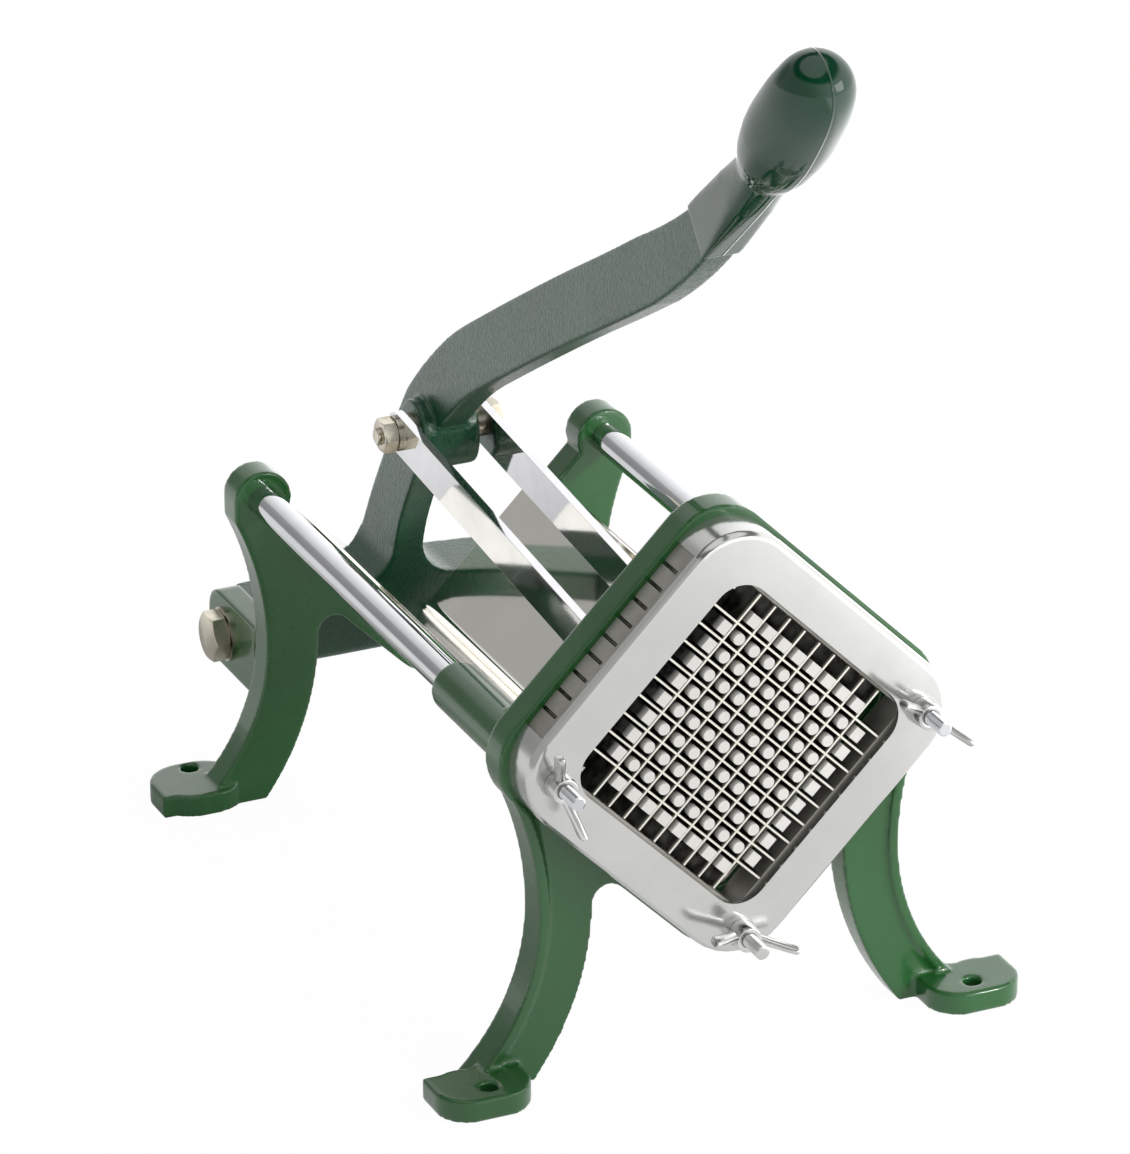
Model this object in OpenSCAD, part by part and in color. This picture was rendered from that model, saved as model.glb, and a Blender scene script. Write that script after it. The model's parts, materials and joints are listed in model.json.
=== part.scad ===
// Lever-operated french fry cutter that stands on four feet.
// A lever swings on the rear frame and two links push a carriage along two
// guide rods, so that the pegs of the pusher block pass between the blades.
// Millimetres. X runs to the right, Y to the rear and Z up. The origin is on
// the table, in the middle of the four foot holes. The lever is fully closed.

/* [Feet] */
// Distance between the left and the right foot holes
foot_span_x = 223; // [215:1:231]
// Distance between the front and the rear foot holes
foot_span_y = 332; // [310:1:360]
// Diameter of the foot holes
foot_hole_d = 7.8; // [6:0.2:9]
// Thickness of the feet
foot_t = 10; // [8:0.5:12]
// Width of a foot
foot_w = 42; // [38:1:46]
// Distance from a front foot's hole to the outer end of the foot
foot_edge = 10.5; // [9:0.5:14]
// Radius of the two outer corners of a front foot
foot_corner_r = 15; // [8:1:18]
// How far the front feet start in front of their frame's rear face
foot_inset = 11; // [6:0.5:12]
// Distance from a rear foot's hole to the outer end of the foot
rear_foot_edge = 6.5; // [6:0.5:12]
// Radius of the two outer corners of a rear foot
rear_foot_corner_r = 18; // [8:1:18]

/* [Frames] */
// Height of the middle of the cutting head above the table
head_z = 145; // [143:0.5:150]
// Side of the square ring of the front frame
ring_side = 154; // [150:1:158]
// Radius of the corners of the ring
ring_corner_r = 24; // [20:1:28]
// Thickness of the plates of both frames
plate_t = 15; // [12:0.5:18]
// Distance from the front foot holes back to the front frame's rear face
front_setback = 29; // [26:0.5:34]
// Distance from the rear foot holes forward to the rear frame's front face
rear_setback = 25; // [22:0.5:28]
// Width of the raised rim along the front legs
rim_w = 4.5; // [3:0.5:7]
// Height of the raised rim along the front legs
rim_t = 2; // [1:0.5:3]
// Radius in the corner between a leg and the ring
arch_r = 7.5; // [5:0.5:10]

/* [Guide rods] */
// Distance of each guide rod from the middle of the cutter
rod_x = 82.5; // [81:0.5:84]
// Diameter of the guide rods
rod_d = 13.5; // [12:0.5:15]
// Diameter of the threaded ends that carry the cutting head
stud_d = 6.2; // [5:0.1:7]
// Length of the front studs beyond the cover plate
stud_out = 22; // [18:1:28]
// Distance of the bottom stud below the middle of the cutting head
low_stud_drop = 85; // [82:0.5:88]
// Diameter of the rear ends of the guide rods
rod_tail_d = 10; // [8:0.5:11]
// Outer diameter of the rod bosses on the rear frame
boss_d = 26.5; // [24:0.5:28]
// Thickness of the bosses behind the rods' ends
boss_wall = 3; // [2:0.5:5]

/* [Trough] */
// Side of the square throat that the potato travels through
throat_side = 104; // [100:0.5:105]
// Thickness of the trough's sheet
trough_t = 1.2; // [0.8:0.1:1.6]
// Inner radius of the bend along the bottom of the trough
trough_bend_r = 5; // [2:0.5:7]
// Distance from the head's middle height down to the trough's two edges
trough_drop = 17; // [10:0.5:22]
// Length of the trough beyond the front face of the rear frame
trough_tail = 16; // [12:0.5:20]

/* [Blades] */
// Distance between neighbouring blades, which is the thickness of a fry
fry = 9.525; // [9:0.025:9.7]
// Number of blades in each direction
blade_count = 9; // [5:2:9]
// Thickness of the blades
blade_t = 0.9; // [0.6:0.1:1.2]
// Depth of the blades along the cut
blade_depth = 12.7; // [10:0.1:13.5]
// How far the blades stand out in front of their ends in the holder's slots
blade_crown = 3.8; // [2:0.2:4.4]
// Depth of the blade holder
holder_depth = 16; // [15:0.5:18]
// Width of the ring's border that shows around the blade holder
holder_border = 2.8; // [2:0.1:4]
// Radius of the blade holder's outer corners
holder_corner_r = 30; // [29:0.5:34]
// Side of the square opening of the blade holder
holder_opening = 107; // [98:0.5:108]
// Width of the slots that hold the blades
slot_w = 1.5; // [1.3:0.1:2]

/* [Cover plate] */
// Thickness of the cover plate
cover_t = 4; // [3.4:0.1:5]
// How far the cover plate stands out past the blade holder's sides
cover_lip = 0.8; // [0.5:0.1:1.5]
// Radius of the cover plate's outer corners
cover_corner_r = 27; // [25:0.5:28]
// Radius of the cover plate's front edge
cover_edge_r = 3.2; // [1:0.1:3.3]
// Side of the window in the cover plate
window_side = 110; // [104:0.5:114]
// Radius of the corners of the window
window_corner_r = 14; // [8:1:18]

// Thickness of the cover plate along the window's edge
window_edge_t = 1.8; // [1.2:0.1:2.4]
// How far the window widens behind its edge
window_step = 2.2; // [1:0.2:3]

/* [Wing nuts] */
// Distance of the wings' tips from the middle of their nut
wing_reach = 20; // [17:0.5:22]
// Distance of the wings' tips in front of their washer
wing_rise = 17.5; // [15:0.5:20]
// Thickness of the wings
wing_t = 2.8; // [2:0.2:3.4]
// Turn of the left wing nut
wing_turn_left = 75; // [0:1:180]
// Turn of the right wing nut
wing_turn_right = 37; // [0:1:180]
// Turn of the bottom wing nut
wing_turn_low = 17; // [0:1:180]

/* [Pusher] */
// Outer diameter of the sleeves that slide on the guide rods
sleeve_d = 22.5; // [20:0.5:23]
// Length of the sleeves
sleeve_l = 67; // [50:1:80]
// Gap between the carriage and the front frame when the lever is closed
stop_gap = 0.2; // [0.1:0.05:0.5]
// Diameter of the round pegs
peg_d = 5.2; // [4:0.1:5.8]
// Width of the rectangular pegs along the edges of the pusher block
edge_peg_w = 5.6; // [5:0.1:7.6]
// Depth of the rectangular pegs across the edges of the pusher block
edge_peg_d = 5.2; // [4:0.1:6]
// Distance from the cover plate's front face back to the pegs' tips
peg_recess = 1.5; // [0.5:0.1:4]
// Side of the pusher block's back plate
block_side = 95; // [93:0.5:99]
// Thickness of the pusher block's back plate
block_t = 6; // [4:0.5:7]
// Gap between the pusher block's back plate and the blades
block_gap = 2; // [1:0.5:3]
// Thickness of the carriage's plate
carriage_t = 10; // [8:0.5:12]
// Half width of the carriage's tongue between the links
tongue_half = 15.5; // [13:0.5:15.5]
// Radius of the corners of the pusher block and the carriage's plate
block_corner_r = 6; // [4:0.5:10]
// Depth of the carriage's beam below the middle of the cutting head
beam_drop = 14; // [10:0.5:16]
// Diameter of the screws that hold the pusher block
block_screw_d = 5; // [4:0.5:6]

/* [Lever] */
// Distance of the lever's pivot behind the rear frame
pivot_back = 37; // [34:0.5:42]
// Height of the lever's pivot above the table
pivot_z = 59; // [57:0.5:62]
// Diameter of the pivot bolt
pivot_d = 12; // [10:0.5:13]
// Distance of the link joint in front of the lever's pivot
hub_lead = 57; // [52:1:62]
// Height of the link joint above the lever's pivot
hub_rise = 109; // [104:1:114]
// Diameter of the bolt that joins the links to the lever
link_bolt_d = 8; // [6:0.5:9]
// Radius of the lever's hub around the link bolt
hub_r = 14; // [12:0.5:16]
// How far the hub reaches down beyond its round top
hub_drop = 5; // [3:0.5:7]
// Half width of the lever's hub
hub_half = 13.5; // [11:0.5:14.5]
// Reach of the grip in front of the link joint
lever_reach = 351; // [320:1:380]
// Height of the grip above the link joint
lever_rise = 262; // [240:1:290]
// Thickness of the lever's arm
arm_t = 14; // [12:0.5:16]
// Width of the lever's arm
arm_w = 29; // [26:0.5:32]
// Width of the lever's arm under the grip
arm_neck_w = 19.8; // [16:0.2:24]
// How far the arm's foot bulges to the rear above the crossbar
arm_heel = 9; // [5:0.5:12]
// Height of the lever's crossbar
crossbar_h = 34; // [30:0.5:36]
// Depth of the lever's crossbar
crossbar_d = 30; // [26:0.5:32]
// Radius between the crossbar and the arm
crossbar_fillet = 20; // [12:1:26]
// Radius of the crossbar's edges
crossbar_corner_r = 8; // [5:0.5:10]
// How much the crossbar narrows above and below towards its ends
crossbar_taper = 3; // [1:0.5:5]
// Gap between the crossbar and each ear of the rear frame
crossbar_gap = 0.5; // [0.3:0.1:1]

/* [Ears] */
// Distance of the ears' inner faces from the middle of the cutter
ear_x = 70; // [69:0.5:71]
// Thickness of the ears
ear_t = 12; // [10:0.5:13]
// Height of the ears
ear_h = 35; // [32:0.5:40]
// Length of the ears behind the lever's pivot
ear_tail = 20; // [17:0.5:24]
// Radius of the ears' rear corners
ear_corner_r = 12; // [8:0.5:15]

/* [Links] */
// Distance of the links' inner faces from the middle of the cutter
link_x = 17; // [16.5:0.5:20]
// Thickness of the links
link_t = 4; // [3:0.5:5]
// Width of the links
link_w = 19; // [16:0.5:22]
// Distance of the links' front pin behind the front frame
pin_back = 27; // [24:0.5:32]

/* [Grip] */
// Largest diameter of the grip
grip_d = 38; // [34:0.5:42]
// Length of the grip's bulb in front of its middle
grip_nose = 50.5; // [44:0.5:58]
// Length of the grip's bulb behind its middle
grip_tail = 25.5; // [22:0.5:30]
// Angle of the grip's axis above the horizontal
grip_tilt = 49; // [44:0.5:54]
// Thickness of the grip's sleeve over the arm
grip_skin = 1.6; // [1.2:0.1:2.4]

/* [Hidden] */

$fn = 64;
slip = 0.05;     // radial clearance of a shaft that turns or slides
fit = 0.2;       // clearance of a piece that seats in another
over = 1;        // how far a cutting solid runs past a face
root2 = sqrt(2);

// Faces of the two frames
front_inner_y = front_setback - foot_span_y / 2;
front_face_y = front_inner_y - plate_t;
rear_inner_y = foot_span_y / 2 - rear_setback;
rear_face_y = rear_inner_y + plate_t;
foot_x = foot_span_x / 2;
foot_shift = 1.25;  // the foot's middle lies this far outside its hole

// Legs: one arc inside, two arcs outside that meet at the waist
leg_inner_r = 130;
leg_low_r = 98;
leg_high_r = 140;
waist_x = foot_x - 29.3;
waist_z = 76;
leg_w = 24.7;
leg_inner = [waist_x - leg_w + leg_inner_r, waist_z + 3];
leg_low = [waist_x + leg_low_r, waist_z];
leg_high = [waist_x + leg_high_r, waist_z];
leg_top_z = head_z - 9;

// Opening of the frames, with the trough seated in it
throat_half = throat_side / 2;
bed_half = throat_half + trough_t;
bed_r = trough_bend_r + trough_t;

// Cutting head, from the front frame forwards
holder_front_y = front_face_y - holder_depth;
cover_front_y = holder_front_y - cover_t;
holder_half = ring_side / 2 - holder_border;
cover_half = holder_half + cover_lip;
stud_tip_y = cover_front_y - stud_out;
low_stud_z = head_z - low_stud_drop;
washer_t = 1.5;
blade_reach = holder_half - 0.8;
blade_back_y = front_face_y;
blade_front_y = blade_back_y - blade_depth;
blade_edge_y = blade_front_y - blade_crown;
blade_last = (blade_count - 1) / 2;
blade_middle_y = (blade_edge_y + blade_back_y) / 2;
blade_gap = 0.5;   // gap between a blade's standing part and the holder

// Pusher
carriage_y = front_inner_y + stop_gap;
peg_tip_y = cover_front_y + peg_recess;
block_front_y = front_face_y + block_gap;
block_back_y = block_front_y + block_t;
carriage_back_y = block_back_y + carriage_t;
edge_peg_at = (blade_last + 0.5) * fry;
block_screw_at = 30;
beam_z = head_z + 12;

// Linkage
pivot_y = rear_face_y + pivot_back;
hub_y = pivot_y - hub_lead;
hub_z = pivot_z + hub_rise;
pin_y = front_inner_y + pin_back;
pin_z = head_z;
beam_back_y = pin_y - link_bolt_d - 2.8;
link_angle = atan2(hub_z - pin_z, hub_y - pin_y);
link_length = norm([hub_y - pin_y, hub_z - pin_z]);
pin_lift = 18;    // how far the pin rises in the tongue's slot in mid stroke
pin_play = 2.2;   // play of the pin on each side across the slot
slot_wall = 5;
bed_gap = 4.5;    // height of the beam's slanting edges above the throat's

// Fasteners
bolt_head_k = 0.62;  // height of a hexagon head, as a share of its thread
nut_k = 0.8;         // height of a nut, as a share of its thread

function hex_af(d) = 1.6 * d + 1.2;
function smooth(a, b, c, d, t) = 0.5 * (2 * b + (c - a) * t
    + (2 * a - 5 * b + 4 * c - d) * t * t
    + (3 * b - a - 3 * c + d) * t * t * t);
// Points of a smooth curve through the points p, with n steps between two
function curve(p, n) = concat([for (i = [0:len(p) - 2], j = [0:n - 1])
    smooth(p[max(i - 1, 0)], p[i], p[i + 1], p[min(i + 2, len(p) - 1)],
    j / n)], [p[len(p) - 1]]);
function heading(p, i) = p[min(i + 1, len(p) - 1)] - p[max(i - 1, 0)];
// Unit normal of the curve p at its point i
function normal_at(p, i) = let (d = heading(p, i)) [d[1], -d[0]] / norm(d);

// Places a front view drawn in X and Z, with its front face at y
module front_view(y, t) {
    translate([0, y + t, 0]) rotate([90, 0, 0]) linear_extrude(t) children();
}

// Places a side view drawn in Y and Z, from x to x + t
module side_view(x, t) {
    translate([x, 0, 0]) rotate([90, 0, 90]) linear_extrude(t) children();
}

// Cylinder along Y from y to y + l
module rod_y(x, y, z, d, l) {
    translate([x, y + l, z]) rotate([90, 0, 0]) cylinder(d = d, h = l);
}

// Cylinder along X from x to x + l
module rod_x_dir(x, y, z, d, l) {
    translate([x, y, z]) rotate([0, 90, 0]) cylinder(d = d, h = l);
}

module hexagon(af) {
    circle(d = af / cos(30), $fn = 6);
}

// Hexagon nut along X from x to x + l, bored for a thread d
module hex_nut_x(x, y, z, d, l) {
    difference() {
        translate([x, y, z]) rotate([0, 90, 0]) linear_extrude(l) hexagon(hex_af(d));
        rod_x_dir(x - over, y, z, d, l + 2 * over);
    }
}

// Washer along X from x to x + l
module washer_x(x, y, z, d, outer, l) {
    difference() {
        rod_x_dir(x, y, z, outer, l);
        rod_x_dir(x - over, y, z, d + 2 * slip, l + 2 * over);
    }
}

// Washer along Y from y to y + l
module washer_y(x, y, z, d, outer, l) {
    difference() {
        rod_y(x, y, z, outer, l);
        rod_y(x, y - over, z, d + 2 * slip, l + 2 * over);
    }
}

// Square with rounded corners, centred
module round_square(half, r) {
    square([2 * half, 2 * (half - r)], center = true);
    square([2 * (half - r), 2 * half], center = true);
    for (x = [-1, 1], y = [-1, 1])
        translate([x, y] * (half - r)) circle(r);
}

// The same square standing on its corner at the middle of the head
module head_square(half, r) {
    translate([0, head_z]) rotate(45) round_square(half, r);
}

// Right leg in front view up to a height, without its foot
module leg_outline(top_z) {
    difference() {
        intersection() {
            translate([waist_x - 2 * leg_w, 0])
                square([leg_low_r, top_z]);
            translate(leg_inner) circle(leg_inner_r, $fn = 200);
        }
        difference() {
            translate(leg_low) circle(leg_low_r, $fn = 200);
            translate([0, waist_z]) square(3 * leg_inner_r);
        }
        difference() {
            translate(leg_high) circle(leg_high_r, $fn = 200);
            square([3 * leg_inner_r, waist_z]);
        }
    }
}

// Fills the corner between the right leg and the ring's lower side
module arch_fillet() {
    line_z = head_z - ring_side / root2;
    low_z = line_z - arch_r * root2;
    reach = leg_inner_r + arch_r;
    b = leg_inner[0] + leg_inner[1] - low_z;
    c = leg_inner[0] * leg_inner[0]
        + (low_z - leg_inner[1]) * (low_z - leg_inner[1]) - reach * reach;
    x = (b - sqrt(b * b - 2 * c)) / 2;
    at = [x, low_z + x];
    out = (leg_inner - at) / reach;
    difference() {
        polygon([at, at + arch_r * [-1, 1] / root2,
            at + arch_r * [1, 4] / root2, at + 2 * arch_r * out,
            at + arch_r * out]);
        translate(at) circle(arch_r);
    }
}

// Both legs and feet of one frame. outward is -1 in front and 1 in the rear
module legs(inner_y, hole_y, outward) {
    y0 = outward < 0 ? inner_y - plate_t : inner_y;
    for (side = [0, 1]) mirror([side, 0, 0]) {
        front_view(y0, plate_t) difference() {
            leg_outline(outward < 0 ? leg_top_z : head_z);
            past_boss();
        }
        front_view(y0, plate_t) arch_fillet();
        if (outward < 0)
            foot(inner_y - foot_inset, hole_y, outward, foot_edge,
                min(foot_corner_r, foot_w / 2 - over));
        else
            foot(inner_y, hole_y, outward, rear_foot_edge,
                min(rear_foot_corner_r, foot_w / 2 - over));
    }
}

// What lies outside of the right rod's boss, above the waist of the leg
module past_boss() {
    translate([rod_x + boss_d / 2, waist_z]) square(leg_low_r);
}

// Foot from start_y to beyond its hole by edge, with outer corners of radius r
module foot(start_y, hole_y, outward, edge, r) {
    length = abs(hole_y - start_y) + edge;
    difference() {
        translate([foot_x + foot_shift, start_y, 0])
            mirror([0, outward < 0 ? 1 : 0, 0]) linear_extrude(foot_t) {
            translate([-foot_w / 2, 0]) square([foot_w, length - r]);
            translate([r - foot_w / 2, 0]) square([foot_w - 2 * r, length]);
            for (s = [-1, 1])
                translate([s * (foot_w / 2 - r), length - r]) circle(r);
        }
        translate([foot_x, hole_y, -over])
            cylinder(d = foot_hole_d, h = foot_t + 2 * over);
    }
}

// Raised rim along the outer edge of the right front leg
module leg_rim() {
    intersection() {
        difference() {
            union() {
                intersection() {
                    translate(leg_low) circle(leg_low_r + rim_w, $fn = 200);
                    square([3 * leg_inner_r, waist_z]);
                }
                intersection() {
                    translate(leg_high) circle(leg_high_r + rim_w, $fn = 200);
                    translate([0, waist_z]) square(3 * leg_inner_r);
                }
            }
            head_square(holder_half + holder_border / 2, ring_corner_r);
        }
        leg_outline(leg_top_z);
    }
}

module front_frame() {
    color([0.13, 0.32, 0.17]) difference() {
        union() {
            front_view(front_face_y, plate_t)
                head_square(ring_side / 2, ring_corner_r);
            legs(front_inner_y, -foot_span_y / 2, -1);
            for (side = [0, 1]) mirror([side, 0, 0])
                front_view(front_face_y - rim_t, rim_t) leg_rim();
        }
        front_view(front_face_y - over, plate_t + 2 * over)
            head_square(bed_half + fit, bed_r + fit);
        for (side = [-1, 1])
            rod_y(side * rod_x, front_face_y - over, head_z, rod_d + 2 * slip,
                plate_t + 2 * over);
        rod_y(0, front_face_y - over, low_stud_z, stud_d + 2 * slip,
            plate_t + 2 * over);
    }
}

module ear() {
    side_view(ear_x, ear_t) difference() {
        union() {
            translate([rear_inner_y, pivot_z - ear_h / 2])
                square([pivot_y + ear_tail - ear_corner_r - rear_inner_y, ear_h]);
            translate([rear_inner_y, pivot_z - ear_h / 2 + ear_corner_r])
                square([pivot_y + ear_tail - rear_inner_y, ear_h - 2 * ear_corner_r]);
            for (s = [-1, 1])
                translate([pivot_y + ear_tail - ear_corner_r,
                    pivot_z + s * (ear_h / 2 - ear_corner_r)])
                    circle(ear_corner_r);
        }
        translate([pivot_y, pivot_z]) circle(d = pivot_d + 2 * slip);
    }
}

module rear_frame() {
    color([0.13, 0.32, 0.17]) difference() {
        union() {
            difference() {
                union() {
                    front_view(rear_inner_y, plate_t) difference() {
                        intersection() {
                            head_square(ring_side / 2, ring_corner_r);
                            translate([-ring_side, 0])
                                square([2 * ring_side, head_z]);
                        }
                        for (side = [0, 1]) mirror([side, 0]) {
                            difference() {
                                translate(leg_high) circle(leg_high_r, $fn = 200);
                                square([3 * leg_inner_r, waist_z]);
                            }
                            past_boss();
                        }
                    }
                    legs(rear_inner_y, foot_span_y / 2, 1);
                    for (side = [0, 1]) mirror([side, 0, 0]) ear();
                }
                front_view(rear_inner_y - over, plate_t + 2 * over)
                    head_square(bed_half + fit, bed_r + fit);
            }
            for (side = [-1, 1])
                rod_y(side * rod_x, rear_inner_y, head_z, boss_d, plate_t);
        }
        for (side = [-1, 1])
            rod_y(side * rod_x, rear_inner_y - over, head_z,
                rod_tail_d + 2 * slip, over + plate_t - boss_wall + fit);
    }
}

module guide_rod(side) {
    color([0.85, 0.86, 0.88]) {
        rod_y(side * rod_x, front_face_y, head_z, rod_d,
            rear_inner_y - front_face_y);
        rod_y(side * rod_x, stud_tip_y, head_z, stud_d,
            front_face_y - stud_tip_y + over);
        rod_y(side * rod_x, rear_inner_y - over, head_z, rod_tail_d,
            over + plate_t - boss_wall);
    }
}

module guide_rod_left() {
    guide_rod(-1);
}

module guide_rod_right() {
    guide_rod(1);
}

module trough() {
    start_y = front_face_y + over;
    color([0.8, 0.8, 0.78])
        front_view(start_y, rear_inner_y + trough_tail - start_y)
        difference() {
            intersection() {
                head_square(bed_half, bed_r);
                translate([-ring_side, 0])
                    square([2 * ring_side, head_z - trough_drop]);
            }
            head_square(throat_half, trough_bend_r);
        }
}

// Holder, blades and cover are drawn upright here and turned by this
module on_corner(y, t) {
    front_view(y, t) translate([0, head_z]) rotate(45) children();
}

module head_bores(y, t, d) {
    for (side = [-1, 1]) rod_y(side * rod_x, y, head_z, d, t);
    rod_y(0, y, low_stud_z, d, t);
}

module blade_holder() {
    color([0.5, 0.5, 0.48]) difference() {
        on_corner(holder_front_y, holder_depth) difference() {
            round_square(holder_half, holder_corner_r);
            square(holder_opening, center = true);
        }
        on_corner(blade_front_y, blade_depth + over)
            for (turn = [0, 90], i = [-blade_last:blade_last])
                rotate(turn) translate([i * fry, 0])
                    square([slot_w, 2 * holder_half + over], center = true);
        head_bores(holder_front_y - over, holder_depth + 2 * over,
            stud_d + 2 * slip);
    }
}

// Blades of one direction, each notched where it crosses the others
module blades(turn, notch_y, notch_t) {
    color([0.88, 0.87, 0.82]) difference() {
        union() {
            on_corner(blade_front_y, blade_depth) rotate(turn)
                for (i = [-blade_last:blade_last]) translate([i * fry, 0])
                    square([blade_t, 2 * blade_reach], center = true);
            on_corner(blade_edge_y, blade_crown + over) rotate(turn)
                for (i = [-blade_last:blade_last]) translate([i * fry, 0])
                    square([blade_t, holder_opening - 2 * blade_gap],
                        center = true);
        }
        on_corner(notch_y, notch_t) rotate(turn)
            for (i = [-blade_last:blade_last]) translate([0, i * fry])
                square([2 * holder_half, blade_t + fit / 2], center = true);
    }
}

module blades_rising() {
    blades(90, blade_edge_y - over, blade_middle_y - blade_edge_y + over);
}

module blades_falling() {
    blades(0, blade_middle_y, blade_back_y - blade_middle_y + over);
}

// Rounded square plate along the head's axis with a rounded front edge
module pillow_plate(y, t, half, r, edge_r) {
    hull() {
        for (a = [0, 30, 60]) {
            inset = edge_r * (1 - sin(a));
            depth = edge_r * (1 - cos(a));
            on_corner(y + depth, t - depth)
                round_square(half - inset, r - inset, $fn = 32);
        }
        on_corner(y + edge_r, t - edge_r) round_square(half, r, $fn = 32);
    }
}

module cover_plate() {
    straight = cover_half - cover_corner_r;
    color([0.9, 0.9, 0.89]) difference() {
        union() {
            pillow_plate(cover_front_y, cover_t, cover_half, cover_corner_r,
                cover_edge_r);
            on_corner(holder_front_y - over, holder_depth + over) difference() {
                round_square(cover_half - fit, cover_corner_r - fit);
                round_square(holder_half + fit / 2, holder_corner_r);
                square([3 * cover_half, 2 * straight], center = true);
                square([2 * straight, 3 * cover_half], center = true);
            }
        }
        on_corner(cover_front_y - over, cover_t + 2 * over)
            round_square(window_side / 2, window_corner_r);
        on_corner(cover_front_y + window_edge_t, cover_t)
            round_square(window_side / 2 + window_step,
                window_corner_r + window_step);
        head_bores(cover_front_y - over, cover_t + 2 * over,
            stud_d + 2 * slip);
    }
}

module low_stud() {
    color([0.8, 0.8, 0.8]) rod_y(0, stud_tip_y, low_stud_z, stud_d,
        front_inner_y - stud_tip_y);
}

module cover_washers() {
    color([0.8, 0.8, 0.8]) for (at = [[-rod_x, head_z], [rod_x, head_z],
        [0, low_stud_z]])
        washer_y(at[0], cover_front_y - washer_t, at[1], stud_d,
            2 * stud_d + 1, washer_t);
}

// Wing nut with its seat on the washer at x and z, its top towards -Y
module wing_nut(x, z, turn) {
    hub_d = 2.1 * stud_d;
    hub_h = 1.3 * stud_d;
    tip_r = 0.22 * wing_reach;
    color([0.78, 0.78, 0.76]) translate([x, cover_front_y - washer_t, z])
        rotate([90, turn, 0]) difference() {
            union() {
                cylinder(d1 = hub_d, d2 = 0.85 * hub_d, h = hub_h);
                for (side = [0, 1]) mirror([side, 0, 0])
                    translate([0, wing_t / 2, 0]) rotate([90, 0, 0])
                    linear_extrude(wing_t) {
                        polygon([[0, washer_t / 2],
                            [0.45 * wing_reach, 0.13 * wing_rise],
                            [wing_reach - tip_r / 5, wing_rise - 1.6 * tip_r],
                            [wing_reach - 2 * tip_r, wing_rise - tip_r / 3],
                            [0.35 * wing_reach, hub_h], [0, hub_h]]);
                        translate([wing_reach - tip_r, wing_rise - tip_r])
                            circle(tip_r);
                    }
            }
            translate([0, 0, -over])
                cylinder(d = stud_d + 2 * slip, h = 4 * stud_d);
        }
}

module wing_nut_left() {
    wing_nut(-rod_x, head_z, wing_turn_left);
}

module wing_nut_right() {
    wing_nut(rod_x, head_z, wing_turn_right);
}

module wing_nut_low() {
    wing_nut(0, low_stud_z, wing_turn_low);
}

// Front view of the beam that joins the carriage's plate to its sleeves
module beam_outline() {
    low = throat_half * root2 - bed_gap;
    knee = low - beam_drop;
    edge = rod_x - sleeve_d / 2 + 1;
    polygon([[-rod_x, beam_z], [-rod_x, head_z + edge - low],
        [-edge, head_z + edge - low], [-knee, head_z + knee - low],
        [knee, head_z + knee - low], [edge, head_z + edge - low],
        [rod_x, head_z + edge - low], [rod_x, beam_z]]);
}

module pusher_carriage() {
    slot_half = link_bolt_d / 2 + pin_play;
    tongue_back = pin_y + slot_half + slot_wall;
    tongue_low = pin_z - link_bolt_d / 2 - 3 * slot_wall;
    tongue_high = pin_z + pin_lift + link_bolt_d / 2 + 1.5 * slot_wall;
    color([0.12, 0.3, 0.16]) difference() {
        union() {
            on_corner(block_back_y, carriage_t)
                round_square((block_side - over) / 2, block_corner_r);
            front_view(carriage_y, beam_back_y - carriage_y) beam_outline();
            for (side = [-1, 1])
                rod_y(side * rod_x, carriage_y, head_z, sleeve_d, sleeve_l);
            side_view(-tongue_half, 2 * tongue_half)
                translate([carriage_back_y - over, tongue_low])
                square([tongue_back - carriage_back_y + over,
                    tongue_high - tongue_low]);
        }
        for (side = [-1, 1])
            rod_y(side * rod_x, carriage_y - over, head_z, rod_d + 2 * slip,
                sleeve_l + 2 * over);
        side_view(-tongue_half - over, 2 * tongue_half + 2 * over)
            translate([pin_y, pin_z + pin_play - fit]) {
                translate([-slot_half, 0]) square([2 * slot_half, pin_lift]);
                circle(slot_half);
                translate([0, pin_lift]) circle(slot_half);
            }
        for (x = [-1, 1], z = [-1, 1])
            rod_y(x * block_screw_at, block_back_y - over,
                head_z + z * block_screw_at, block_screw_d + 2 * slip,
                carriage_t + 2 * over);
    }
}

module pusher_block() {
    color([0.93, 0.92, 0.86]) difference() {
        union() {
            on_corner(block_front_y, block_t)
                round_square(block_side / 2, block_corner_r);
            on_corner(peg_tip_y, block_front_y - peg_tip_y + over) {
                for (i = [0.5 - blade_last:blade_last - 0.5],
                    j = [0.5 - blade_last:blade_last - 0.5])
                    translate([i, j] * fry) circle(d = peg_d);
                for (turn = [0:90:270], i = [0.5 - blade_last:blade_last - 0.5])
                    rotate(turn) translate([i * fry, edge_peg_at])
                        square([edge_peg_w, edge_peg_d], center = true);
            }
        }
        for (x = [-1, 1], z = [-1, 1])
            rod_y(x * block_screw_at, block_back_y - block_t + 2,
                head_z + z * block_screw_at, block_screw_d, block_t);
    }
}

module block_screws() {
    head_h = 0.6 * block_screw_d;
    color([0.7, 0.7, 0.7]) for (x = [-1, 1], z = [-1, 1]) {
        rod_y(x * block_screw_at, block_front_y + 2,
            head_z + z * block_screw_at, block_screw_d,
            carriage_back_y - block_front_y - 2 + over);
        rod_y(x * block_screw_at, carriage_back_y,
            head_z + z * block_screw_at, 1.8 * block_screw_d, head_h);
    }
}

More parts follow.
